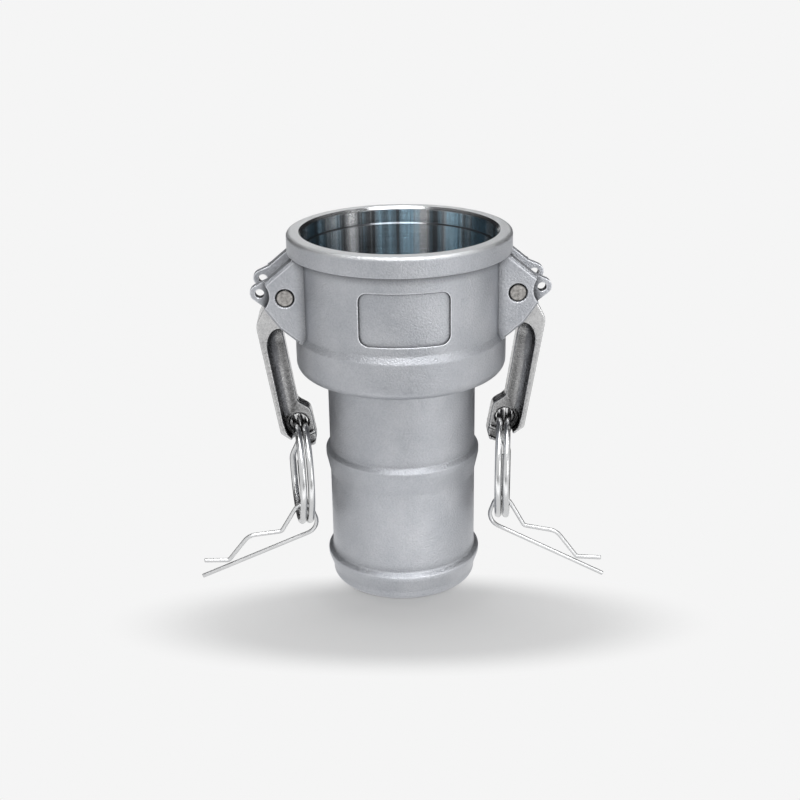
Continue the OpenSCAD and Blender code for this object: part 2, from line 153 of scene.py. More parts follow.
# Angles round the ring, in degrees: a turn, the ring's back, half of the kink there, and from the
# back to a cut end, which lies a little past the kink
FULL_TURN = 360
RING_BACK = 90
RING_KINK = 12
PAST_KINK = 3
RING_END = RING_KINK + PAST_KINK

# The sides of the ring's wire, the steps of a turn and of the kink, and the round of the cut ends
RING_SIDES = 20
RING_STEPS = 84
KINK_STEPS = 8
RING_CUT = 0.25


def eased(share):
    """Goes from 0 to 1 with a level start and a level end."""
    return share * share * (3 - 2 * share)


def wind_ring(side):
    path_r = (RING_D - RING_WIRE_T) / 2 * MM
    pitch = (RING_WIRE_W + TURN_GAP) * MM
    turn = radians(FULL_TURN - RING_KINK - RING_END)
    kink_step = radians(2 * RING_KINK / KINK_STEPS)
    start = radians(RING_BACK + RING_END)
    at = (-pitch / 2, path_r * sin(start), path_r * cos(start))
    ring = start_wire("finger_ring_wire_" + side, at, (pi / 2 - start, 0, 0),
                      RING_WIRE_W * MM, RING_WIRE_T * MM, RING_SIDES)
    middle = (0, 0, 0)
    axis = (1, 0, 0)
    bpy.ops.mesh.spin(steps=RING_STEPS, angle=turn, center=middle, axis=axis)
    for step in range(KINK_STEPS):
        across = pitch * (eased((step + 1) / KINK_STEPS) - eased(step / KINK_STEPS))
        bpy.ops.mesh.spin(steps=1, angle=kink_step, center=middle, axis=axis)
        bpy.ops.transform.translate(value=(across, 0, 0))
    bpy.ops.mesh.spin(steps=RING_STEPS, angle=turn, center=middle, axis=axis)
    bpy.ops.object.mode_set(mode="OBJECT")
    close_and_turn_out(ring)
    swing = joints["ring_right_swing"]
    ring_turn = atan2(-swing["axis"][0], -swing["axis"][1])
    eye = Vector(swing["pos_m"])
    settle(ring, eye - Vector((0, 0, path_r)), (0, 0, -ring_turn), side)
    round_cut_ends(ring, RING_CUT)
    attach(ring, "ring_" + side)
    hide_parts("finger_ring_" + side)
    return ring


# Safety clips: a straight leg, a round loop and a wavy leg, bent from one round wire

# The wavy leg in the wire's plane, in millimetres from the loop's middle: two corners as
# (along, up, bend radius), then the dip that all but touches the straight leg, and the flared tip
CLIP_NECK = (8.4, -1, 1.6)
CLIP_CREST = (19.8, 2.4, 5)
CLIP_DIP_X = 30
CLIP_DIP_GAP = 0.4
CLIP_DIP_R = 1.6
CLIP_TIP_X = 38
CLIP_TIP_UP = 5.6

# The sides of the clip's wire, and the round of its cut ends
CLIP_SIDES = 16
CLIP_CUT = 0.3

# A bend turns by this much in a step, in degrees, and takes less than half of a straight run
BEND_STEP = 6
LEAST_STEPS = 3
RUN_SHARE = 0.49


def clip_corners():
    """Corners of the wire's path in its own plane, as (along, up, bend radius)."""
    low = -CLIP_LOOP_R - LEG_SINK
    return [
        (CLIP_LEG, low, 0),
        (-CLIP_LOOP_R, low, CLIP_LOOP_R),
        (-CLIP_LOOP_R, 2 * CLIP_LOOP_R, CLIP_LOOP_R),
        CLIP_NECK,
        CLIP_CREST,
        (CLIP_DIP_X, low + CLIP_D + CLIP_DIP_GAP, CLIP_DIP_R),
        (CLIP_TIP_X, low + CLIP_TIP_UP, 0)]


def extrude_by(run):
    bpy.ops.mesh.extrude_region_move(TRANSFORM_OT_translate={"value": (run.x, 0, run.y)})


def bend_clip(side):
    corners = [(Vector((x, z)) * MM, r * MM) for x, z, r in clip_corners()]
    here = corners[0][0]
    clip = start_wire("safety_clip_wire_" + side, (here.x, 0, here.y), (0, pi / 2, 0),
                      CLIP_D * MM, CLIP_D * MM, CLIP_SIDES)
    for (before, _), (corner, wanted), (after, _) in zip(corners, corners[1:], corners[2:]):
        u = (corner - before).normalized()
        v = (after - corner).normalized()
        bend = atan2(u.x * v.y - u.y * v.x, u.dot(v))
        hand = 1 if bend > 0 else -1
        room = RUN_SHARE * min((corner - before).length, (after - corner).length)
        reach = min(wanted * tan(abs(bend) / 2), room)
        radius = reach / tan(abs(bend) / 2)
        bend_start = corner - u * reach
        extrude_by(bend_start - here)
        centre = bend_start + Vector((-u.y, u.x)) * hand * radius
        steps = max(LEAST_STEPS, ceil(abs(degrees(bend)) / BEND_STEP))
        bpy.ops.mesh.spin(steps=steps, angle=abs(bend), center=(centre.x, 0, centre.y), axis=(0, hand, 0))
        here = corner + v * reach
    extrude_by(corners[-1][0] - here)
    bpy.ops.object.mode_set(mode="OBJECT")
    close_and_turn_out(clip)
    swing = joints["clip_%s_swing" % side]
    way = SIDES[side]
    turn = atan2(-swing["axis"][0], -way * swing["axis"][1])
    loop = Vector(swing["pos_m"])
    loop.x *= way
    down = (CLIP_LOOP_R + LEG_SINK) * MM
    leg = CLIP_LEG * MM
    droop = asin((loop.z - CLIP_D / 2 * MM) / hypot(leg, down)) - atan2(down, leg)
    heading = (Matrix.Rotation(-turn, 3, "Z") @ Matrix.Rotation(droop, 3, "Y")).to_euler()
    settle(clip, loop, heading, side)
    round_cut_ends(clip, CLIP_CUT)
    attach(clip, "clip_" + side)
    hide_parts("safety_clip_" + side)
    return clip


# Cam arms: the same casting with its sharp corners cast round

# The grain of the new skin in millimetres, how strongly and how often it is softened, and the angle in
# degrees past which its edges stay sharp
ARM_VOXEL = 0.3
ARM_SOFTENING = 0.5
ARM_SOFTENINGS = 5
ARM_SMOOTH = 60

# Softening closes in the pin's hole, so what lies this near to its axis is widened again
PIN_HOLE_REACH = 3.4
PIN_HOLE_WIDER = 1.03


def cast_arm(side):
    arm = bpy.data.objects.new("cam_arm_casting_" + side, nodes["cam_arm_" + side].data.copy())
    bpy.context.scene.collection.objects.link(arm)
    select_only(arm)
    bpy.ops.object.mode_set(mode="EDIT")
    bpy.ops.mesh.select_all(action="SELECT")
    bpy.ops.mesh.remove_doubles(threshold=WELD)
    bpy.ops.mesh.normals_make_consistent(inside=False)
    bpy.ops.object.mode_set(mode="OBJECT")
    skin = arm.modifiers.new("skin", "REMESH")
    skin.mode = "VOXEL"
    skin.voxel_size = ARM_VOXEL * MM
    soften = arm.modifiers.new("soften", "SMOOTH")
    soften.factor = ARM_SOFTENING
    soften.iterations = ARM_SOFTENINGS
    apply_modifiers(arm)
    pin = Vector(joints["arm_%s_hinge" % side]["pos_m"])
    for v in arm.data.vertices:
        v.select = hypot(v.co.x - pin.x, v.co.z - pin.z) < PIN_HOLE_REACH * MM
    bpy.ops.object.mode_set(mode="EDIT")
    bpy.ops.mesh.select_mode(type="VERT")
    bpy.ops.transform.resize(value=(PIN_HOLE_WIDER, 1, PIN_HOLE_WIDER), center_override=pin)
    bpy.ops.object.mode_set(mode="OBJECT")
    smooth(arm, ARM_SMOOTH)
    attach(arm, "arm_" + side)
    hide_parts("cam_arm_" + side)
    return arm


rings = [wind_ring(side) for side in SIDES]
clips = [bend_clip(side) for side in SIDES]
arms = [cast_arm(side) for side in SIDES]


# Helpers for node trees

def new_group(name, inputs, outputs):
    """An empty shader node group. Inputs are given as (name, type, default), outputs as (name, type)."""
    group = bpy.data.node_groups.new(name, "ShaderNodeTree")
    for label, kind, value in inputs:
        socket = group.interface.new_socket(label, in_out="INPUT", socket_type=kind)
        if value is not None:
            socket.default_value = value
    for label, kind in outputs:
        group.interface.new_socket(label, in_out="OUTPUT", socket_type=kind)
    return group, group.nodes.new("NodeGroupInput"), group.nodes.new("NodeGroupOutput")


def feed(tree, socket, value):
    """Sets a plain number on a socket, or links another node's output to it."""
    if isinstance(value, (int, float)):
        socket.default_value = value
    else:
        tree.links.new(value, socket)


def typed(sockets, kind, label=None):
    """The first socket of a kind: a Mix node has the same labels once for each kind."""
    return [s for s in sockets if s.type == kind and label in (None, s.name)][0]


def math_node(tree, operation, a, b=None):
    node = tree.nodes.new("ShaderNodeMath")
    node.operation = operation
    feed(tree, node.inputs[0], a)
    if b is not None:
        feed(tree, node.inputs[1], b)
    return node.outputs[0]


def vector_node(tree, operation, a, b=None):
    node = tree.nodes.new("ShaderNodeVectorMath")
    node.operation = operation
    tree.links.new(a, node.inputs[0])
    if b is not None:
        tree.links.new(b, node.inputs[1])
    return node


def noise_node(tree, vector, scale, detail, roughness=0.5):
    node = tree.nodes.new("ShaderNodeTexNoise")
    tree.links.new(vector, node.inputs["Vector"])
    feed(tree, node.inputs["Scale"], scale)
    node.inputs["Detail"].default_value = detail
    node.inputs["Roughness"].default_value = roughness
    return node.outputs["Fac"]


def range_node(tree, value, low, high, to_low=0.0, to_high=1.0):
    node = tree.nodes.new("ShaderNodeMapRange")
    tree.links.new(value, node.inputs["Value"])
    feed(tree, node.inputs["From Min"], low)
    feed(tree, node.inputs["From Max"], high)
    feed(tree, node.inputs["To Min"], to_low)
    feed(tree, node.inputs["To Max"], to_high)
    return node.outputs["Result"]


def blend_colours(tree, share, a, b):
    """Goes from a to b with share. Each is another node's output or a plain colour of three numbers."""
    node = tree.nodes.new("ShaderNodeMix")
    node.data_type = "RGBA"
    tree.links.new(share, node.inputs["Factor"])
    for label, value in (("A", a), ("B", b)):
        socket = typed(node.inputs, "RGBA", label)
        if isinstance(value, tuple):
            socket.default_value = value + (1,)
        else:
            tree.links.new(value, socket)
    return typed(node.outputs, "RGBA")


def new_material(name):
    material = bpy.data.materials.new(name)
    material.use_nodes = True
    return material, material.node_tree


# Shader node groups

# Nearly all of a noise texture's values lie between the first two, and this is their mean
NOISE_LOW = 0.3
NOISE_HIGH = 0.7
NOISE_MEAN = 0.5

# The noise of the pits is this share as fine as the grain's, and only its peaks are pits
PIT_FINENESS = 0.35
PIT_FROM = 0.68
PIT_TO = 0.76


def grain_group():
    """Blasted or tumbled metal: fine grain with a few pits, and slow clouds of tone."""
    group, given, out = new_group("metal_grain", [
        ("Vector", "NodeSocketVector", None),
        ("Grain Size", "NodeSocketFloat", 0.5),
        ("Pits", "NodeSocketFloat", 0.3),
        ("Cloud Size", "NodeSocketFloat", 12.0)],
        [("Grain", "NodeSocketFloat"), ("Height", "NodeSocketFloat"), ("Clouds", "NodeSocketFloat")])
    place = given.outputs["Vector"]
    per_grain = math_node(group, "DIVIDE", 1 / MM, given.outputs["Grain Size"])
    per_cloud = math_node(group, "DIVIDE", 1 / MM, given.outputs["Cloud Size"])
    per_pit = math_node(group, "DIVIDE", PIT_FINENESS / MM, given.outputs["Grain Size"])
    fine = noise_node(group, place, per_grain, detail=3, roughness=0.6)
    clouds = noise_node(group, place, per_cloud, detail=4, roughness=0.55)
    spots = noise_node(group, place, per_pit, detail=1)
    pits = math_node(group, "MULTIPLY", range_node(group, spots, PIT_FROM, PIT_TO), given.outputs["Pits"])
    group.links.new(fine, out.inputs["Grain"])
    group.links.new(math_node(group, "SUBTRACT", fine, pits), out.inputs["Height"])
    group.links.new(range_node(group, clouds, NOISE_LOW, NOISE_HIGH), out.inputs["Clouds"])
    return group


EDGE_SAMPLES = 6

# An edge is where the rounded normal leaves the true one, as the cosine between the two
EDGE_FROM = 0.995
EDGE_TO = 0.90

# Only an edge this open to the outside is lightened, as wear and painted highlight
WEAR_AND_HIGHLIGHT_FROM = 0.82
WEAR_AND_HIGHLIGHT_TO = 0.97


def edge_group():
    """Rounds edges in the shading, and gives a mask of outer edges, lightened as wear and painted
    highlight, and one of inner corners, darkened as painted shade.
    """
    group, given, out = new_group("cast_edges", [
        ("Radius", "NodeSocketFloat", 0.4),
        ("Reach", "NodeSocketFloat", 2.0),
        ("Cleanest", "NodeSocketFloat", 0.85),
        ("Darkest", "NodeSocketFloat", 0.25)],
        [("Normal", "NodeSocketVector"), ("Wear And Highlight", "NodeSocketFloat"), ("Painted Corner Shade", "NodeSocketFloat")])
    rounded = group.nodes.new("ShaderNodeBevel")
    rounded.samples = EDGE_SAMPLES
    group.links.new(math_node(group, "MULTIPLY", given.outputs["Radius"], MM), rounded.inputs["Radius"])
    surface = group.nodes.new("ShaderNodeNewGeometry")
    alike = vector_node(group, "DOT_PRODUCT", rounded.outputs["Normal"], surface.outputs["Normal"])
    edge = range_node(group, alike.outputs["Value"], EDGE_FROM, EDGE_TO)
    shade = group.nodes.new("ShaderNodeAmbientOcclusion")
    shade.only_local = True
    shade.samples = EDGE_SAMPLES
    group.links.new(math_node(group, "MULTIPLY", given.outputs["Reach"], MM), shade.inputs["Distance"])
    openness = shade.outputs["AO"]
    # Outer edges, to be lightened partly as wear and partly as a painted highlight
    wear_and_highlight = math_node(group, "MULTIPLY", edge, range_node(group, openness, WEAR_AND_HIGHLIGHT_FROM, WEAR_AND_HIGHLIGHT_TO))
    # Painted shade in inner corners: the less open a place is, the darker it is painted
    painted_corner_shade = range_node(group, openness, given.outputs["Cleanest"], given.outputs["Darkest"])
    group.links.new(rounded.outputs["Normal"], out.inputs["Normal"])
    group.links.new(wear_and_highlight, out.inputs["Wear And Highlight"])
    group.links.new(painted_corner_shade, out.inputs["Painted Corner Shade"])
    return group


# Where in the noise the bore's painted reflection streaks and their blue tint, also a painted reflection,
# are taken from
STREAKS_AT = (3.1, 2.2, 0)
TINT_AT = (8, 8, 0)

# Noise below the first of each pair is one tone of the streaks, and above the second it is the other
STREAKS_PART = (0.40, 0.60)
TINT_PART = (0.44, 0.56)

# The detail and roughness of their noise
STREAKS_NOISE = (3, 0.6)
TINT_NOISE = (1, 0.5)

# A surface grows level as the upward part of its normal goes from the first to the second
LEVEL_PART = (0.3, 0.8)


def streak_group():
    """Turned bore: painted reflection streaks that run along its axis, with a painted blue tint, and fine
    lathe marks round it.
    """
    group, given, out = new_group("bore_reflection_streaks", [
        ("Vector", "NodeSocketVector", None),
        ("Count", "NodeSocketFloat", 6.0),
        ("Marks Apart", "NodeSocketFloat", 0.01),
        ("Marks Tilt", "NodeSocketFloat", 3.0)],
        [("Streaks", "NodeSocketFloat"), ("Tint", "NodeSocketFloat"),
         ("Normal", "NodeSocketVector"), ("Level", "NodeSocketFloat"),
         ("Radius", "NodeSocketFloat"), ("Height", "NodeSocketFloat")])
    place = group.nodes.new("ShaderNodeSeparateXYZ")
    group.links.new(given.outputs["Vector"], place.inputs[0])
    flat = group.nodes.new("ShaderNodeCombineXYZ")
    group.links.new(place.outputs["X"], flat.inputs["X"])
    group.links.new(place.outputs["Y"], flat.inputs["Y"])
    radius = vector_node(group, "LENGTH", flat.outputs[0])
    bearing = vector_node(group, "NORMALIZE", flat.outputs[0])
    for label, at, part, kind in (("Streaks", STREAKS_AT, STREAKS_PART, STREAKS_NOISE),
                                  ("Tint", TINT_AT, TINT_PART, TINT_NOISE)):
        moved = vector_node(group, "ADD", bearing.outputs["Vector"])
        moved.inputs[1].default_value = at
        noise = noise_node(group, moved.outputs["Vector"], given.outputs["Count"], *kind)
        group.links.new(range_node(group, noise, *part), out.inputs[label])
    up = group.nodes.new("ShaderNodeCombineXYZ")
    group.links.new(place.outputs["Z"], up.inputs["Z"])
    per_mark = math_node(group, "DIVIDE", 1 / MM, given.outputs["Marks Apart"])
    marks = math_node(group, "SUBTRACT", noise_node(group, up.outputs[0], per_mark, detail=1), NOISE_MEAN)
    tilt = math_node(group, "MULTIPLY", marks, given.outputs["Marks Tilt"])
    leaning = group.nodes.new("ShaderNodeCombineXYZ")
    group.links.new(tilt, leaning.inputs["Z"])
    surface = group.nodes.new("ShaderNodeNewGeometry")
    tilted = vector_node(group, "ADD", surface.outputs["Normal"], leaning.outputs[0])
    marked = vector_node(group, "NORMALIZE", tilted.outputs["Vector"])
    facing = group.nodes.new("ShaderNodeSeparateXYZ")
    group.links.new(surface.outputs["Normal"], facing.inputs[0])
    group.links.new(marked.outputs["Vector"], out.inputs["Normal"])
    group.links.new(range_node(group, facing.outputs["Z"], *LEVEL_PART), out.inputs["Level"])
    group.links.new(radius.outputs["Value"], out.inputs["Radius"])
    group.links.new(place.outputs["Z"], out.inputs["Height"])
    return group


grain = grain_group()
edges = edge_group()
streaks = streak_group()


def place_group(tree, group, **values):
    """Puts a shader node group in a tree. A value's name is its socket's, with _ for each space."""
    node = tree.nodes.new("ShaderNodeGroup")
    node.node_tree = group
    for name, value in values.items():
        node.inputs[name.replace("_", " ")].default_value = value
    return node


# Materials

class Metal:
    """A metal whose tone and gloss change with grain, clouds, edges lightened as wear and painted
    highlight, and inner corners darkened as painted shade.

    Sizes are in millimetres. Outer edges take the light tone times the wear and highlight factor, and inner
    corners take the dark tone times the corner shade factor, as painted shade: a place open by less than
    the unshaded bound darkens, fully so at darkest.
    """

    def __init__(self, name, dark, light, roughness, grain_size, pits, cloud_size, bump,
                 edge, wear_and_highlight, painted_corner_shade, reach, unshaded=0.85, darkest=0.25):
        self.material, self.tree = new_material(name)
        tree = self.tree
        self.shader = tree.nodes["Principled BSDF"]
        self.shader.inputs["Metallic"].default_value = 1.0
        self.coords = tree.nodes.new("ShaderNodeTexCoord")
        surface = place_group(tree, grain, Grain_Size=grain_size, Pits=pits, Cloud_Size=cloud_size)
        tree.links.new(self.coords.outputs["Object"], surface.inputs["Vector"])
        form = place_group(tree, edges, Radius=edge, Reach=reach, Cleanest=unshaded, Darkest=darkest)
        self.worn_and_highlit = form.outputs["Wear And Highlight"]
        grains = range_node(tree, surface.outputs["Grain"], NOISE_LOW, NOISE_HIGH)
        tone = math_node(tree, "MULTIPLY", math_node(tree, "ADD", surface.outputs["Clouds"], grains), 1 / 2)
        colour = blend_colours(tree, tone, dark, light)
        # Outer edges are lightened partly as wear and partly as a painted highlight
        colour = blend_colours(tree, self.worn_and_highlit, colour, tuple(c * wear_and_highlight for c in light))
        # Inner corners are darkened as painted shade
        self.colour = blend_colours(tree, form.outputs["Painted Corner Shade"], colour, tuple(c * painted_corner_shade for c in dark))
        self.gloss = range_node(tree, surface.outputs["Grain"], NOISE_LOW, NOISE_HIGH, *roughness)
        relief = tree.nodes.new("ShaderNodeBump")
        relief.inputs["Distance"].default_value = bump * MM
        tree.links.new(surface.outputs["Height"], relief.inputs["Height"])
        tree.links.new(form.outputs["Normal"], relief.inputs["Normal"])
        self.normal = relief.outputs["Normal"]

    def finish(self):
        self.tree.links.new(self.colour, self.shader.inputs["Base Color"])
        self.tree.links.new(self.gloss, self.shader.inputs["Roughness"])
        self.tree.links.new(self.normal, self.shader.inputs["Normal"])
        return self.material


# How fine the bore's painted reflection streaks are, their tones, and those of its edges lightened as wear
# and painted highlight, of its ledges darkened as painted shade, and of the rim's faced top, lightened in
# part as a painted highlight
STREAK_COUNT = 5.5
BORE_REFLECTION_PALE = (0.93, 0.94, 0.95)
BORE_REFLECTION_BLUE = (0.58, 0.84, 1.0)
BORE_REFLECTION_DARK = (0.12, 0.13, 0.14)
BORE_EDGE_WEAR_AND_HIGHLIGHT = (0.50, 0.51, 0.52)
BORE_LEDGE_SHADE = (0.10, 0.105, 0.115)
BORE_ROUGHNESS = 0.16
RIM_FACE_AND_HIGHLIGHT = (0.54, 0.55, 0.56)

# Bounds of the turned faces, in millimetres: how far past the mouth's bevel and above the seat the
# bore's finish and painted reflection go, and how far below the mouth the rim's faced tone, lightened in
# part as a painted highlight, starts and is full
BORE_PAST = 0.1
BORE_ABOVE = 1
RIM_START = 1.3
RIM_FULL = 0.5


def cast_material():
    """Bead-blasted casting, with the socket's bore turned, its streaks and blue tint a painted reflection,
    its ledges darkened as painted shade and its rim's faced top lightened in part as a painted highlight.
    """
    steel = Metal("cast_steel", dark=(0.33, 0.345, 0.375), light=(0.52, 0.53, 0.555),
                  roughness=(0.31, 0.47), grain_size=0.6, pits=0.2, cloud_size=16, bump=0.26,
                  edge=0.7, wear_and_highlight=1.6, painted_corner_shade=0.14, reach=3.6, unshaded=0.95, darkest=0.54)
    tree = steel.tree
    place = place_group(tree, streaks, Count=STREAK_COUNT)
    tree.links.new(steel.coords.outputs["Object"], place.inputs["Vector"])
    height = place.outputs["Height"]
    bore_r = SOCKET_R + LEAD_STEP + MOUTH_BEVEL + BORE_PAST
    inside = math_node(tree, "LESS_THAN", place.outputs["Radius"], bore_r * MM)
    above = math_node(tree, "GREATER_THAN", height, (SEAT_Z + BORE_ABOVE) * MM)
    turned = math_node(tree, "MULTIPLY", inside, above)
    # The bore's streaks and blue tint are a painted reflection
    bright = blend_colours(tree, place.outputs["Tint"], BORE_REFLECTION_PALE, BORE_REFLECTION_BLUE)
    bright = blend_colours(tree, place.outputs["Streaks"], BORE_REFLECTION_DARK, bright)
    bright = blend_colours(tree, steel.worn_and_highlit, bright, BORE_EDGE_WEAR_AND_HIGHLIGHT)
    # Level ledges in the bore are darkened as painted shade
    bright = blend_colours(tree, place.outputs["Level"], bright, BORE_LEDGE_SHADE)
    # The rim's faced top is lightened in part as a painted highlight
    faced = range_node(tree, height, (BODY_H - RIM_START) * MM, (BODY_H - RIM_FULL) * MM)
    colour = blend_colours(tree, turned, steel.colour, bright)
    steel.colour = blend_colours(tree, faced, colour, RIM_FACE_AND_HIGHLIGHT)
    steel.gloss = range_node(tree, turned, 0, 1, steel.gloss, BORE_ROUGHNESS)
    normal = tree.nodes.new("ShaderNodeMix")
    normal.data_type = "VECTOR"
    tree.links.new(turned, normal.inputs["Factor"])
    tree.links.new(steel.normal, typed(normal.inputs, "VECTOR", "A"))
    tree.links.new(place.outputs["Normal"], typed(normal.inputs, "VECTOR", "B"))
    steel.normal = typed(normal.outputs, "VECTOR")
    return steel.finish()


def arm_material():
    """Tumbled casting, with painted shade in the scoops of its sides."""
    return Metal("arm_steel", dark=(0.42, 0.42, 0.425), light=(0.68, 0.68, 0.68), roughness=(0.18, 0.30),
                 grain_size=0.9, pits=0.3, cloud_size=3.5, bump=0.07,
                 edge=0.7, wear_and_highlight=1.3, painted_corner_shade=0.03, reach=10, unshaded=0.99, darkest=0.80).finish()


def wire_material(name, roughness):
    """Bright drawn wire."""
    return Metal(name, dark=(0.54, 0.545, 0.55), light=(0.70, 0.705, 0.71), roughness=roughness,
                 grain_size=0.25, pits=0.1, cloud_size=6, bump=0.004,
                 edge=0, wear_and_highlight=1, painted_corner_shade=0.2, reach=1.2).finish()


# Painted shade in the gap round the pin's end, in millimetres from its axis: where it starts to darken and
# where it is dark
PIN_GAP_SHADE_START = 2.35
PIN_GAP_SHADE_FULL = 2.7
PIN_GAP_SHADE = (0.02, 0.02, 0.02)


def pin_material():
    """Dull sawn rod, with painted shade in the gap where its end meets the ear."""
    steel = Metal("pin_steel", dark=(0.17, 0.162, 0.155), light=(0.62, 0.60, 0.58), roughness=(0.20, 0.38),
                  grain_size=0.9, pits=0.5, cloud_size=1.6, bump=0.12,
                  edge=0.3, wear_and_highlight=0.9, painted_corner_shade=0.03, reach=1.8)
    tree = steel.tree
    pin_x, _, pin_z = joints["arm_right_hinge"]["pos_m"]
    place = tree.nodes.new("ShaderNodeSeparateXYZ")
    tree.links.new(steel.coords.outputs["Object"], place.inputs[0])
    across = math_node(tree, "SUBTRACT", math_node(tree, "ABSOLUTE", place.outputs["X"]), pin_x)
    up = math_node(tree, "SUBTRACT", place.outputs["Z"], pin_z)
    far = math_node(tree, "SQRT", math_node(tree, "ADD", math_node(tree, "POWER", across, 2),
                                            math_node(tree, "POWER", up, 2)))
    gap_shade = range_node(tree, far, PIN_GAP_SHADE_START * MM, PIN_GAP_SHADE_FULL * MM)
    # Painted shade in the gap round the pin's end
    steel.colour = blend_colours(tree, gap_shade, steel.colour, PIN_GAP_SHADE)
    return steel.finish()


# The gasket's tones and roughness, and its grain and bump in millimetres
RUBBER_DARK = (0.018, 0.018, 0.02)
RUBBER_LIGHT = (0.035, 0.035, 0.038)
RUBBER_ROUGHNESS = (0.5, 0.7)
RUBBER_GRAIN = 0.4
RUBBER_BUMP = 0.03


def rubber_material():
    """Matt moulded rubber."""
    material, tree = new_material("seal_rubber")
    shader = tree.nodes["Principled BSDF"]
    coords = tree.nodes.new("ShaderNodeTexCoord")
    surface = place_group(tree, grain, Grain_Size=RUBBER_GRAIN)
    tree.links.new(coords.outputs["Object"], surface.inputs["Vector"])
    colour = blend_colours(tree, surface.outputs["Clouds"], RUBBER_DARK, RUBBER_LIGHT)
    gloss = range_node(tree, surface.outputs["Grain"], NOISE_LOW, NOISE_HIGH, *RUBBER_ROUGHNESS)
    relief = tree.nodes.new("ShaderNodeBump")
    relief.inputs["Distance"].default_value = RUBBER_BUMP * MM
    tree.links.new(surface.outputs["Height"], relief.inputs["Height"])
    tree.links.new(colour, shader.inputs["Base Color"])
    tree.links.new(gloss, shader.inputs["Roughness"])
    tree.links.new(relief.outputs["Normal"], shader.inputs["Normal"])
    return material


def dress(material, *pieces):
    for piece in pieces:
        piece.data.materials.clear()
        piece.data.materials.append(material)


dress(cast_material(), nodes["body"])
dress(arm_material(), *arms)
dress(wire_material("wire_steel", roughness=(0.20, 0.26)), *rings)
dress(wire_material("clip_steel", roughness=(0.30, 0.38)), *clips)
dress(pin_material(), *[nodes["arm_pin_" + side] for side in SIDES])
dress(rubber_material(), nodes["gasket"])


# Studio: pale floor, soft lamps, cards that only the metal's reflections show, and the camera

def grey(level):
    return (level, level, level, 1)


BACKGROUND = grey(0.913)
WORLD_LIGHT = grey(0.42)


def seen_flat(tree, *rays):
    """1 for the kinds of ray, by name, that see the flat background, and 0 for all others."""
    paths = tree.nodes.new("ShaderNodeLightPath")
    seen = paths.outputs[rays[0]]
    for ray in rays[1:]:
        seen = math_node(tree, "MAXIMUM", seen, paths.outputs[ray])
    return seen


def mix_shaders(tree, share, a, b):
    """Goes from shader a to shader b with share."""
    mix = tree.nodes.new("ShaderNodeMixShader")
    tree.links.new(share, mix.inputs[0])
    tree.links.new(a.outputs[0], mix.inputs[1])
    tree.links.new(b.outputs[0], mix.inputs[2])
    return mix.outputs[0]


def make_world():
    world = bpy.data.worlds.new("studio_world")
    bpy.context.scene.world = world
    world.use_nodes = True
    tree = world.node_tree
    tree.nodes.clear()
    lit = tree.nodes.new("ShaderNodeBackground")
    lit.inputs["Color"].default_value = WORLD_LIGHT
    backdrop = tree.nodes.new("ShaderNodeBackground")
    backdrop.inputs["Color"].default_value = BACKGROUND
    seen = seen_flat(tree, "Is Camera Ray", "Is Glossy Ray", "Is Transmission Ray")
    out = tree.nodes.new("ShaderNodeOutputWorld")
    tree.links.new(mix_shaders(tree, seen, lit, backdrop), out.inputs["Surface"])


FLOOR_R = 4.0
FLOOR_SIDES = 96
# The paper's tone inside the shadow's oval, set low so that the oval also reads darker by itself, as a
# painted shadow
FLOOR_SHADOW_TONE = grey(0.54)

# The floor lies a hair below the foot, in millimetres
FLOOR_DROP = 0.02

# The oval of floor that takes the object's shadow and is also darkened by itself as a painted shadow, in
# metres: its centre, its reach along X and Y, and its slant. The shadow is deep out to a share of that
# reach, and even there the paper glows a little by itself
SHADOW_AT = (0, -0.0395)
SHADOW_REACH = (0.106, 0.0345)
SHADOW_SLANT = 0.05
SHADOW_DEEP = 0.55
SHADOW_GLOW = 0.16


def make_floor():
    """White paper that takes the object's shadow in front of it, with a painted shadow darkening that oval
    by itself, and fades to the flat background.
    """
    bpy.ops.mesh.primitive_circle_add(vertices=FLOOR_SIDES, radius=FLOOR_R, fill_type="NGON",
                                      location=(0, 0, -FLOOR_DROP * MM))
    floor = bpy.context.object
    floor.name = "floor"
    bpy.ops.object.transform_apply(location=True, rotation=True, scale=True)
    material, tree = new_material("floor_paper")
    tree.nodes.remove(tree.nodes["Principled BSDF"])
    coords = tree.nodes.new("ShaderNodeTexCoord")
    place = tree.nodes.new("ShaderNodeSeparateXYZ")
    tree.links.new(coords.outputs["Object"], place.inputs[0])
    slant = math_node(tree, "MULTIPLY", place.outputs["X"], SHADOW_SLANT)
    slanted = math_node(tree, "ADD", place.outputs["Y"], slant)
    squares = []
    for along, at, reach in zip((place.outputs["X"], slanted), SHADOW_AT, SHADOW_REACH):
        from_centre = math_node(tree, "SUBTRACT", along, at)
        squares.append(math_node(tree, "POWER", math_node(tree, "DIVIDE", from_centre, reach), 2))
    distance = math_node(tree, "SQRT", math_node(tree, "ADD", *squares))
    far = range_node(tree, distance, SHADOW_DEEP, 1, SHADOW_GLOW)
    far.node.interpolation_type = "SMOOTHSTEP"
    reflected = seen_flat(tree, "Is Glossy Ray", "Is Transmission Ray")
    shadowed = tree.nodes.new("ShaderNodeBsdfDiffuse")
    shadowed.inputs["Color"].default_value = FLOOR_SHADOW_TONE
    paper = tree.nodes.new("ShaderNodeEmission")
    paper.inputs["Color"].default_value = BACKGROUND
    surface = mix_shaders(tree, math_node(tree, "MAXIMUM", far, reflected), shadowed, paper)
    tree.links.new(surface, tree.nodes["Material Output"].inputs["Surface"])
    dress(material, floor)


def aim(location, target):
    return (Vector(target) - Vector(location)).to_track_quat("-Z", "Y").to_euler()


# What the lamps point at and what the cards stand round, on the object's axis, in metres
LAMPS_AIM = (0, 0, 0.06)
CARDS_ROUND = (0, 0, 0.08)


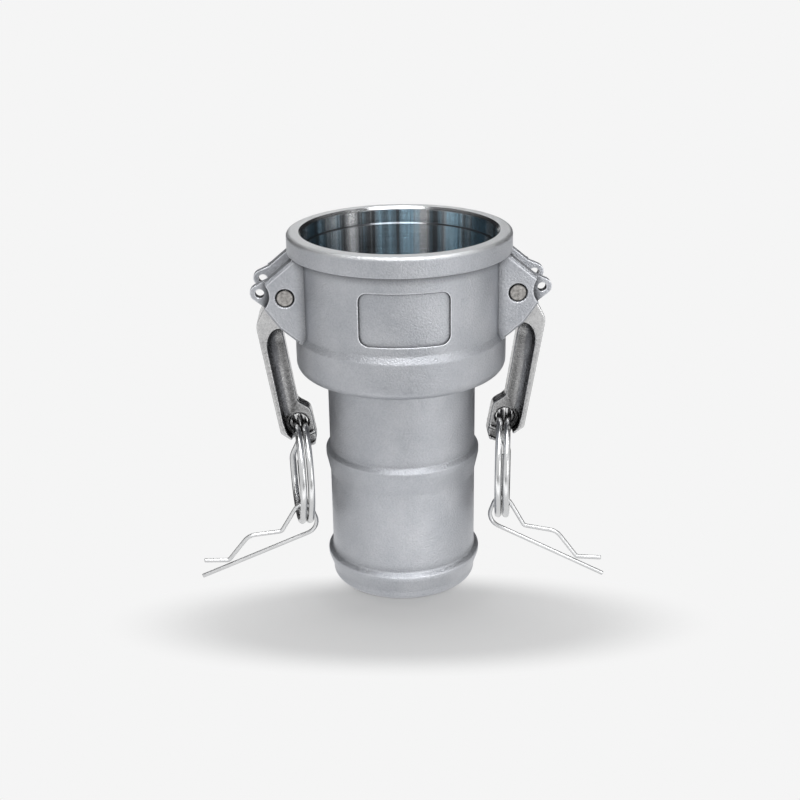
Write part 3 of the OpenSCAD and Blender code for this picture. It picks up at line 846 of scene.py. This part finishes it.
def make_lamp(name, location, width, height, watts):
    data = bpy.data.lights.new(name, "AREA")
    data.shape = "RECTANGLE"
    data.size = width
    data.size_y = height
    data.energy = watts
    lamp = bpy.data.objects.new(name, data)
    lamp.location = location
    lamp.rotation_euler = aim(location, LAMPS_AIM)
    bpy.context.scene.collection.objects.link(lamp)


def make_card(name, azimuth, elevation, distance, width, height, colour):
    """A card that only the metal's reflections see, placed by its bearing from the front in degrees."""
    bearing = radians(azimuth)
    up = radians(elevation)
    centre = Vector(CARDS_ROUND)
    location = centre + distance * Vector((sin(bearing) * cos(up), -cos(bearing) * cos(up), sin(up)))
    bpy.ops.mesh.primitive_plane_add(size=1, location=(0, 0, 0))
    card = bpy.context.object
    card.name = name
    card.scale = (width, height, 1)
    card.location = location
    card.rotation_euler = aim(location, centre)
    bpy.ops.object.transform_apply(location=True, rotation=True, scale=True)
    material, tree = new_material(name + "_face")
    tree.nodes.remove(tree.nodes["Principled BSDF"])
    glow = tree.nodes.new("ShaderNodeEmission")
    glow.inputs["Color"].default_value = colour
    tree.links.new(glow.outputs[0], tree.nodes["Material Output"].inputs["Surface"])
    dress(material, card)
    card.visible_camera = False
    card.visible_shadow = False
    card.visible_diffuse = False


# The photograph's view: focal length and width in pixels, and the lens's place and angles, in
# millimetres and degrees
FOCAL_PX = 1263.3
FRAME_PX = 800
SENSOR = 36
CAMERA_AT = (-15.84, -409.97, 226.17)
CAMERA_TURN = -2.13
CAMERA_DOWN = 21.46
CAMERA_ROLL = -0.83


def make_camera():
    data = bpy.data.cameras.new("camera")
    data.sensor_width = SENSOR
    data.lens = FOCAL_PX / FRAME_PX * SENSOR
    camera = bpy.data.objects.new("camera", data)
    camera.location = Vector(CAMERA_AT) * MM
    turn = Matrix.Rotation(radians(CAMERA_TURN), 3, "Z")
    pitch = Matrix.Rotation(pi / 2 - radians(CAMERA_DOWN), 3, "X")
    roll = Matrix.Rotation(radians(CAMERA_ROLL), 3, "Z")
    camera.rotation_euler = (turn @ pitch @ roll).to_euler()
    bpy.context.scene.collection.objects.link(camera)
    bpy.context.scene.camera = camera


# Tones of the dark cards at the sides and of those beside the foot
FLAG = (0.02, 0.02, 0.022, 1)
LOW_FLAG = (0.06, 0.06, 0.062, 1)

make_world()
make_floor()
make_lamp("key_lamp", (0.05, 1.15, 2.6), width=5.6, height=0.7, watts=118)
make_lamp("front_lamp", (0.4, -1.3, 2.0), width=1.2, height=1.0, watts=17)
for side, way in SIDES.items():
    make_card("card_" + side, azimuth=136 * way, elevation=8, distance=0.8,
              width=1.1, height=1.1, colour=FLAG)
    make_card("card_%s_low" % side, azimuth=138 * way, elevation=-37, distance=0.11,
              width=0.13, height=0.07, colour=LOW_FLAG)
    make_card("card_%s_high" % side, azimuth=125 * way, elevation=58, distance=0.8,
              width=1.2, height=0.6, colour=FLAG)
make_card("card_foot", azimuth=4, elevation=-55, distance=0.097,
          width=0.15, height=0.05, colour=grey(1.6))
make_card("card_before", azimuth=0, elevation=-28, distance=0.17,
          width=0.11, height=0.06, colour=grey(0.25))
make_card("card_front_right", azimuth=40, elevation=3, distance=0.6,
          width=0.14, height=0.26, colour=grey(4.6))
make_card("card_top", azimuth=10, elevation=84, distance=0.7,
          width=0.40, height=0.24, colour=grey(7.5))
make_card("strip_front", azimuth=-10, elevation=58, distance=0.9,
          width=0.07, height=0.5, colour=grey(9.0))
make_card("strip_left", azimuth=-36, elevation=56, distance=0.9,
          width=0.10, height=0.5, colour=grey(1.6))
make_card("strip_mid", azimuth=22, elevation=58, distance=0.9,
          width=0.10, height=0.5, colour=grey(7.0))
make_card("strip_right", azimuth=70, elevation=50, distance=0.9,
          width=0.06, height=0.5, colour=grey(5.0))
make_camera()
bpy.context.scene.view_settings.view_transform = "Standard"
